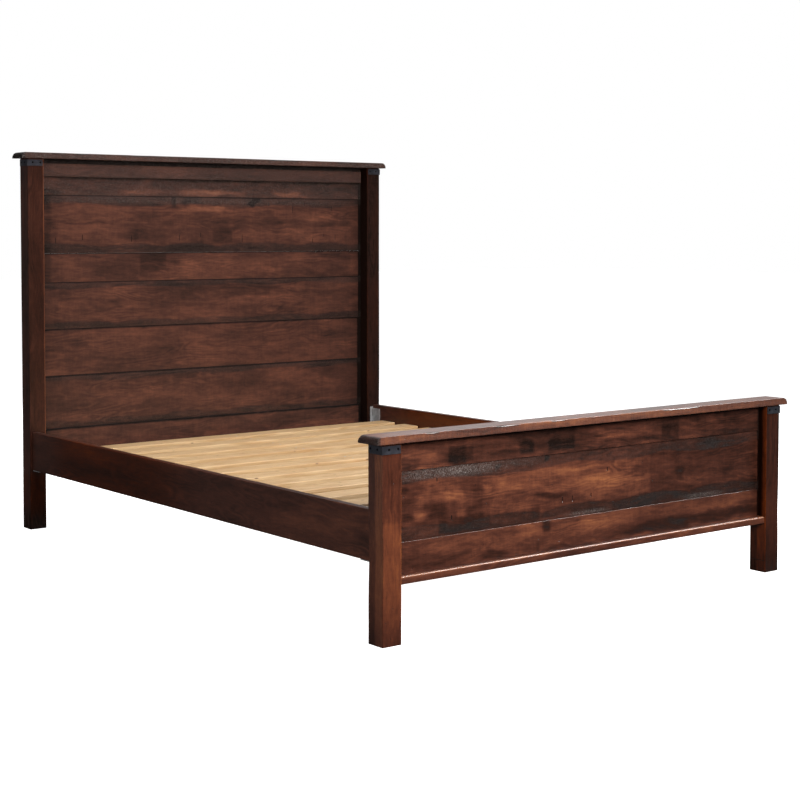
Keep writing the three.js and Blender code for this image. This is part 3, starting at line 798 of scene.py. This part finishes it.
def make_cap(node, seed, chips, tone=0.0, sheen_grey=0.0):
    """A cap with rounded ends and back edge, and a front edge chopped in long shallow chips
    (start, end, depth), in mm along the bed's width."""
    low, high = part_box(node)
    thickness = high.z - low.z

    def end_radius(run):
        return np.where(run < 0, *CAP_END_RADII)

    def chop_depth(run):
        depth = 0.6 * MM * np.clip(soft_noise(run * 9, 0 * run, seed), 0, 1)
        for start, stop, chip in chips:
            share = np.clip((run / MM - start) / (stop - start), 0, 1)
            depth += chip * MM * np.sin(math.pi * share) ** 0.7
        return depth

    def shape(run, depth, rise):
        radius = end_radius(run)
        past = np.clip(np.abs(run) - (high.x - radius), 0, radius)
        drop = radius - np.sqrt(radius**2 - past**2)
        rise = low.z + (rise - low.z) * (1 - drop / thickness)
        sag = 0.35 * MM * swell(run * 4, depth * 18, seed + 2)
        rise = rise - sag * (rise - low.z) / thickness
        front_wave = 0.6 * MM * (0.5 + 0.5 * fractal(run * 7, rise * 60, seed + 4, 3) / 1.8)
        share = np.clip(1 - (depth - low.y) / (12 * MM), 0, 1)
        depth = depth + front_wave * share
        corner = (depth - low.y) + (high.z - drop - rise)
        cut = np.clip(chop_depth(run) + CHIP_EASE - corner, 0, None) * share
        return run, depth + cut * 0.35, rise - cut * 0.65

    def colour(run, depth, rise):
        on_front = depth < low.y + 3 * MM
        at_end = soft_step(-run - high.x + 9 * MM, 1.5 * MM)
        stain = tone + 0.10 * fractal(run * 4, depth * 30 + rise * 40, seed + 9)
        stain += 0.06 * on_front - 0.45 * at_end
        corner = (depth - low.y) + (high.z - rise)
        in_chip = (chop_depth(run) > 1.5 * MM) & (corner < 4 * MM)
        # Painted sheen greys the front by grey and the left end by 0.2, and the chips a little; the chips'
        # cut faces are also darker, as painted shade.
        worn = sheen_grey * on_front + 0.2 * at_end + 0.1 * in_chip
        return {"stain": stain - 0.35 * in_chip, "worn": worn}

    turn = np.radians(np.linspace(90, 0, 9))
    left, right = (high.x - end_radius(side) * (1 - np.cos(turn)) for side in (-1, 1))
    stations = np.concatenate([-left[::-1], spaced(-left[0], right[0], 6 * MM)[1:-1], right])
    spacings = [6 * MM, 6 * MM, 4 * MM, 2 * MM]
    ring = eased_ring(low.yz, high.yz, CAP_EDGE_RADII, spacings)
    sweep(node, "_slab", "x", stations, ring, node, seed, shape, colour)


def make_trim(node, seed, radii, tone):
    """The flat rail of the headboard or the moulding of the footboard. Its front top edge, the last
    of the radii in mm, is painted pale as a highlight where it is a broad nose."""
    low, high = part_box(node)
    nose_depth = 3.8 * MM if radii[3] > 4 else 0
    end = node.split("_")[0]

    def shape(run, depth, rise):
        share = np.clip((high.y - depth) / (high.y - low.y), 0, 1)
        return run, depth + 0.5 * MM * share * swell(run * 6, rise * 25, seed), rise

    def colour(run, depth, rise):
        nose = (rise > high.z - nose_depth) & (depth < low.y + nose_depth)
        underneath = 0.12 * np.clip((high.z - rise) / (high.z - low.z), 0, 1)
        # The nose is painted lighter and greyer as a highlight, and the head's rail greyer all over as
        # painted sheen.
        stain = tone + 0.08 * fractal(run * 5, rise * 30, seed + 6) + 0.38 * nose - underneath
        return {"stain": stain, "worn": 0.22 * (end == "head") + 0.3 * nose}

    stations = spaced(low.x, high.x, 10 * MM)
    ring = eased_ring(low.yz, high.yz, [r * MM for r in radii], [5 * MM] * 4)
    sweep(node, "_strip", "x", stations, ring, end + "_trim", seed, shape, colour)


def make_side_rail(node, seed):
    """A side rail with wavy faces, and a warmer, darker stretch from its middle towards the head, where it
    lacks the painted grey sheen that the rest has.
    """
    low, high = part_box(node)
    middle = (low.x + high.x) / 2

    def shape(run, across, rise):
        share = (across - middle) / (high.x - middle)
        wave = 0.6 * MM * swell(run * 3, rise * 9, seed)
        return run, across - wave * share, rise

    def colour(run, across, rise):
        # Painted sheen: outside the warm stretch the rail is greyer; inside it, darker and richer.
        warm = soft_step(run, 70 * MM) * soft_step(RAIL_WARM_END - run, 40 * MM)
        stain = 0.10 * fractal(run * 3, rise * 18, seed + 4) - 0.05 * warm
        return {"stain": stain, "warmth": 0.22 * warm, "worn": 0.06 * (1 - warm)}

    stations = spaced(low.y, high.y, 14 * MM)
    radii = [1.5 * MM, 1.5 * MM, 3 * MM, 3 * MM]
    ring = eased_ring(low.xz, high.xz, radii, [6 * MM] * 4)
    sweep(node, "_plank", "y", stations, ring, "rail", seed, shape, colour)


def make_slat(node, seed):
    """A planed slat, very slightly bowed and cupped as dry pine is."""
    low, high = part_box(node)

    def shape(run, along, rise):
        bow = 1.2 * MM * soft_noise(run * 1.3, 0 * run, seed)
        cup = 0.4 * MM * swell(run * 2, along * 9, seed + 1)
        return run, along + bow, rise - cup

    stations = spaced(low.x, high.x, 24 * MM)
    ring = eased_ring(low.yz, high.yz, [2.5 * MM] * 4, [11 * MM] * 4)
    sweep(node, "_pine", "x", stations, ring, "slat", seed, shape)


# ---- Nails and screws ----
def turned(profile, segments, lobes=None):
    """Points and faces of a round head about +Z from (radius, height) pairs in mm, its centre first.
    lobes maps a pair's place in the list to how far its ring is drawn into a cross."""
    profile = [(radius * MM, height * MM) for radius, height in profile]
    points = [(0.0, 0.0, profile[0][1])]
    faces = []
    angles = np.arange(segments) * 2 * math.pi / segments
    for i, (radius, height) in enumerate(profile[1:], 1):
        pull = (lobes or {}).get(i, 0.0)
        wide = radius * (1 + pull * np.cos(4 * angles))
        points.extend(zip(wide * np.cos(angles), wide * np.sin(angles), [height] * segments))
    for k in range(segments):
        after = (k + 1) % segments
        faces.append((0, 1 + k, 1 + after))
        for i in range(len(profile) - 2):
            inner, outer = 1 + i * segments, 1 + (i + 1) * segments
            faces.append((inner + k, outer + k, outer + after, inner + after))
    faces.append(tuple(1 + (len(profile) - 2) * segments + k for k in range(segments)))
    return np.array(points), faces


HEAD_TURN = 0.7  # radians from one nail or screw to the next


def scatter_heads(name, head, places, look):
    """One object with a copy of a head at each place (point, direction it faces)."""
    head_points, head_faces = head
    points, faces = [], []
    for i, (place, facing) in enumerate(places):
        lean = Vector(facing).to_track_quat("Z", "X").to_matrix()
        cos, sin = math.cos(HEAD_TURN * i), math.sin(HEAD_TURN * i)
        twist = np.array([[cos, -sin, 0], [sin, cos, 0], [0, 0, 1]])
        moved = head_points @ twist.T @ np.array(lean).T + np.array(place)
        faces.extend(tuple(len(points) + corner for corner in face) for face in head_faces)
        points.extend(moved)
    piece = solid(name, points, faces, MATERIALS[look])
    piece["grain_seed"] = 2.0
    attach(piece, BED)


NAIL_PROFILE = [(0, 1.9), (1.2, 1.8), (2.4, 1.4), (3.2, 0.8), (3.5, 0), (1.5, -0.2), (1.5, -2.0)]
NAIL_HEAD = turned(NAIL_PROFILE, 14)
NAIL_OFFSETS = (22.5 * MM, 52.8 * MM)  # along a strap's leg from the post's corner
NAIL_DROP = 10 * MM  # below the strap's top
SCREW_PROFILE = [(0, -1.2), (0.9, -1.1), (1.8, 0.25), (3.6, 0.3), (4.1, 0), (1.8, -2.2)]
SCREW_HEAD = turned(SCREW_PROFILE, 24, lobes={1: 0.5, 2: 0.35})
SLATS = [f"slat_{number:02d}" for number in range(1, 14)]
SLAT_SCREW_OFFSET = 24 * MM  # to each side of a slat's middle
SCREW_SUNK = 0.2 * MM
HOOK_SCREW_RISES = (30 * MM, 65 * MM, 100 * MM)
HOOK_SCREW_INSET = 18 * MM  # from the plate's end away from the post
HANGER_SCREW_REACH = 28 * MM  # to each side of the beam's middle
HANGER_SCREW_RISES = (30 * MM, 46 * MM)
HANGER_THICKNESS = 2.5 * MM
CORNERS = ("head_right", "head_left", "foot_right", "foot_left")


def nail_strap(node):
    """Four nails in a strap: two in the leg on the post's front, and two in the leg on its side."""
    low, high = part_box(node)
    side = math.copysign(1, low.x)
    outer = max(abs(low.x), abs(high.x)) * side
    rise = high.z - NAIL_DROP
    places = []
    for offset in NAIL_OFFSETS:
        places.append(((outer - side * offset, low.y, rise), (0, -1, 0)))
        places.append(((outer, low.y + offset, rise), (side, 0, 0)))
    scatter_heads(node + "_nails", NAIL_HEAD, places, "nail")


def slat_screws():
    """Two screws at each end of each slat, over the cleats, and two over the centre beam."""
    cleat_low, cleat_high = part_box("cleat_right")
    line = (cleat_low.x + cleat_high.x) / 2
    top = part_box(SLATS[0])[1].z - SCREW_SUNK
    places = []
    for node in SLATS:
        low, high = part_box(node)
        for offset in (-SLAT_SCREW_OFFSET, SLAT_SCREW_OFFSET):
            for x in (-line, 0.0, line):
                places.append(((x, (low.y + high.y) / 2 + offset, top), (0, 0, 1)))
    scatter_heads("slat_screws", SCREW_HEAD, places, "zinc")


def plate_screws():
    """Three screws through each hook plate into the rail, and four through each beam hanger."""
    places = []
    for corner in CORNERS:
        low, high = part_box("hook_plate_" + corner)
        side = math.copysign(1, low.x)
        face = min(abs(low.x), abs(high.x)) * side
        y = math.copysign(min(abs(low.y), abs(high.y)) + HOOK_SCREW_INSET, low.y)
        for rise in HOOK_SCREW_RISES:
            places.append(((face, y, low.z + rise), (-side, 0, 0)))
    for end, facing in (("foot", 1), ("head", -1)):
        low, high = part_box("beam_hanger_" + end)
        plate = low.y + HANGER_THICKNESS if facing > 0 else high.y - HANGER_THICKNESS
        for x in (-HANGER_SCREW_REACH, HANGER_SCREW_REACH):
            for rise in HANGER_SCREW_RISES:
                places.append(((x, plate, low.z + rise), (0, facing, 0)))
    scatter_heads("plate_screws", SCREW_HEAD, places, "zinc")


# ---- Pieces that keep their CAD shape ----
def finish_node(node, look, seed, edge):
    """Gives a CAD piece its material, and eased edges where edge is more than nothing."""
    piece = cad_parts[node]
    piece.data.materials.clear()
    piece.data.materials.append(MATERIALS[look])
    piece["grain_seed"] = float(seed)
    if edge:
        bevel = piece.modifiers.new("eased_edges", "BEVEL")
        bevel.width = edge
        bevel.segments = 2
        bevel.limit_method = "ANGLE"
        bevel.angle_limit = math.radians(40)
        bevel.harden_normals = True


def finish_cad_pieces():
    """The straps, the rail hardware and what holds the slats up."""
    for i, side in enumerate(("left", "right")):
        finish_node("cleat_" + side, "deck", 3 + i, 1.5 * MM)
        finish_node("head_strap_" + side, "iron", 5 + i, 0.4 * MM)
        finish_node("foot_strap_" + side, "iron", 7 + i, 0.4 * MM)
    finish_node("centre_beam", "deck", 9, 2 * MM)
    for i in (1, 2, 3):
        finish_node(f"centre_leg_{i}", "leg", 10 + i, 1.5 * MM)
        finish_node(f"leveller_{i}", "nylon", 14 + i, 0)
    for corner in CORNERS:
        finish_node("hook_plate_" + corner, "zinc", 20, 0.3 * MM)
        finish_node("post_plate_" + corner, "zinc", 21, 0)
    for end in ("foot", "head"):
        finish_node("beam_hanger_" + end, "zinc", 22, 0.3 * MM)


# ---- Studio ----
CAMERA_PLACE = (-3.3627, -4.4799, 1.1048)
CAMERA_DOWN = 2.31  # degrees below level
CAMERA_TURN = -37.78  # degrees from +Y, towards +X
KEY_WHITE = (1, 0.96, 0.91)
FLOOR_HALF = 30
FLOOR_DROP = 0.2 * MM  # below the feet, so that the two don't meet
ROOM_LIGHT = 0.008  # away from the glows
# Each glow: the direction it lies in, the cosines where it starts and is full, and its strength.
GLOWS = [
    ((0.42, 0.9, 0.15), 0.81, 0.95, 1.15),  # behind the bed, for the tops of the caps
    ((-0.85, 0.5, -0.1), 0.83, 0.95, 0.11),  # back left, for the left sides near the foot
    ((-0.2, 0.98, 0), 0.945, 0.985, 0.03),  # farther round, for the left sides near the head
    ((0, 0, -1), 0.35, 0.95, 0.2),  # the floor, for what faces down
    ((0.8, -0.6, 0.1), 0.5, 0.95, 0.02),  # front right, for the fronts of the boards
]


def make_camera():
    """The photograph's view, from the foot's left, with the lens shifted so that it tilts little."""
    data = bpy.data.cameras.new("camera")
    data.sensor_width = 36
    data.lens = 72.76
    data.shift_y = -0.1306
    camera = add_object("camera", data)
    camera.location = CAMERA_PLACE
    camera.rotation_euler = (math.radians(90 - CAMERA_DOWN), 0, math.radians(CAMERA_TURN))
    bpy.context.scene.camera = camera


def area_light(name, place, target, size, power, colour=(1, 1, 1), glossy=False, diffuse=True, spread=180):
    """A rectangular lamp that shines from its place towards the target. It shows as a shine where
    glossy is set, and spread is in degrees."""
    data = bpy.data.lights.new(name, "AREA")
    data.shape = "RECTANGLE"
    data.size, data.size_y = size
    data.energy = power
    data.color = colour
    data.spread = math.radians(spread)
    lamp = add_object(name, data)
    lamp.location = place
    lamp.rotation_euler = (Vector(target) - Vector(place)).to_track_quat("-Z", "Y").to_euler()
    lamp.visible_camera = False
    lamp.visible_glossy = glossy
    lamp.visible_diffuse = diffuse


def make_lights():
    """A warm key from the foot, a light that only shows as a shine, and soft fills all round."""
    area_light("key", (-0.7, -3.6, 1.8), (-0.2, -1.1, 0.4), (1.2, 1.2), 140, KEY_WHITE)
    area_light("head_light", (-0.3, -2.2, 3.2), (0, 1.1, 1), (1.2, 0.8), 6, spread=60)
    shine = dict(glossy=True, diffuse=False, spread=40)
    area_light("edge_light", (4.2, -2.6, 4.6), (0.2, -1.3, 0.3), (2.2, 2.2), 62, **shine)
    area_light("left_fill", (-4, -0.6, 1.3), (-0.8, -0.4, 0.35), (1.6, 1), 42)
    area_light("right_fill", (4, -0.4, 1.4), (0.8, -0.1, 0.4), (1.6, 1), 45)
    area_light("back_fill", (0.3, 4.6, 2), (0, 1.1, 0.7), (3, 1.6), 110)
    area_light("top", (0, 0.4, 4.5), (0, 0.2, 0), (4, 4), 110, glossy=True)


def make_floor():
    """A white floor that the bed neither mirrors nor takes light from."""
    mesh = bpy.data.meshes.new("floor")
    signs = ((-1, -1), (1, -1), (1, 1), (-1, 1))
    mesh.from_pydata([(x * FLOOR_HALF, y * FLOOR_HALF, 0) for x, y in signs], [], [(0, 1, 2, 3)])
    floor = add_object("floor", mesh)
    floor.location.z = -FLOOR_DROP
    sh = Shader("floor_white")
    sh.set("Base Color", (0.9, 0.9, 0.9, 1))
    sh.set("Roughness", 0.9)
    sh.set("Emission Color", (1, 1, 1, 1))
    sh.set("Emission Strength", 0.95)
    mesh.materials.append(sh.material)
    floor.visible_glossy = False
    floor.visible_diffuse = False


def make_world():
    """White behind the bed, and a dim room with the glows for all that the bed reflects."""
    world = bpy.data.worlds.new("studio")
    bpy.context.scene.world = world
    room = NodeTree(world)
    direction = room.node("ShaderNodeTexCoord").outputs["Generated"]
    light = ROOM_LIGHT
    for towards, start, full, strength in GLOWS:
        aim = Vector(towards).normalized()
        facing = room.node("ShaderNodeVectorMath", {0: direction, 1: aim}, operation="DOT_PRODUCT")
        light = room.total(light, room.band(facing.outputs["Value"], start, full, 0, strength))
    seen = room.node("ShaderNodeLightPath").outputs["Is Camera Ray"]
    background = room.nodes["Background"].inputs
    room.put(room.node("ShaderNodeMix", {0: seen, 2: light, 3: 1}).outputs[0], background["Strength"])
    background["Color"].default_value = (1, 1, 1, 1)
    bpy.context.scene.view_settings.view_transform = "Standard"


# ---- Build ----
FOOT_CHIPS = [(-675, -612, 2.6), (-430, -325, 3), (-220, -145, 2.2), (235, 425, 3.6)]
HEAD_CHIPS = [(-628, -560, 3), (-390, -310, 2.5), (240, 392, 4)]
FOOT_LEFT = dict(tone=0.02, steps=[(432, 545, -0.18), (330, 432, -0.10), (160, 250, 0.02)])
FOOT_RIGHT = dict(tone=-0.22, inner_tone=0.05, pale_edge=0.05)
HEAD_LEFT = dict(tone=-0.29, inner_tone=-0.1, pale_edge=0.5, layers=(0.02, 0.08))
HEAD_RIGHT = dict(tone=-0.41, inner_tone=-0.2)

make_camera()
make_panel("foot", FOOT_BOARDS, 11)
make_panel("head", HEAD_BOARDS, 71)
make_post("foot_post_left", 3, [(240, 75, 2.4)], **FOOT_LEFT)
make_post("foot_post_right", 5, [(200, 60, 2.4), (60, 120, 0.7)], **FOOT_RIGHT)
make_post("head_post_left", 7, [(520, 260, 0.6)], **HEAD_LEFT)
make_post("head_post_right", 9, [(1000, 200, 0.6), (300, 120, 1.2)], **HEAD_RIGHT)
make_cap("foot_cap", 4, FOOT_CHIPS, tone=0.03, sheen_grey=0.2)
make_cap("head_cap", 8, HEAD_CHIPS, tone=-0.15, sheen_grey=0.34)
make_trim("head_top_rail", 6, [1.5, 0.5, 0.5, 1.2], -0.05)
make_trim("foot_moulding", 12, [1.5, 0.5, 0.5, 5], 0.04)
make_side_rail("side_rail_left", 2)
make_side_rail("side_rail_right", 13)
for number, node in enumerate(SLATS, 31):
    make_slat(node, number)
for end in ("head", "foot"):
    for side in ("left", "right"):
        nail_strap(f"{end}_strap_{side}")
slat_screws()
plate_screws()
finish_cad_pieces()
make_floor()
make_lights()
make_world()
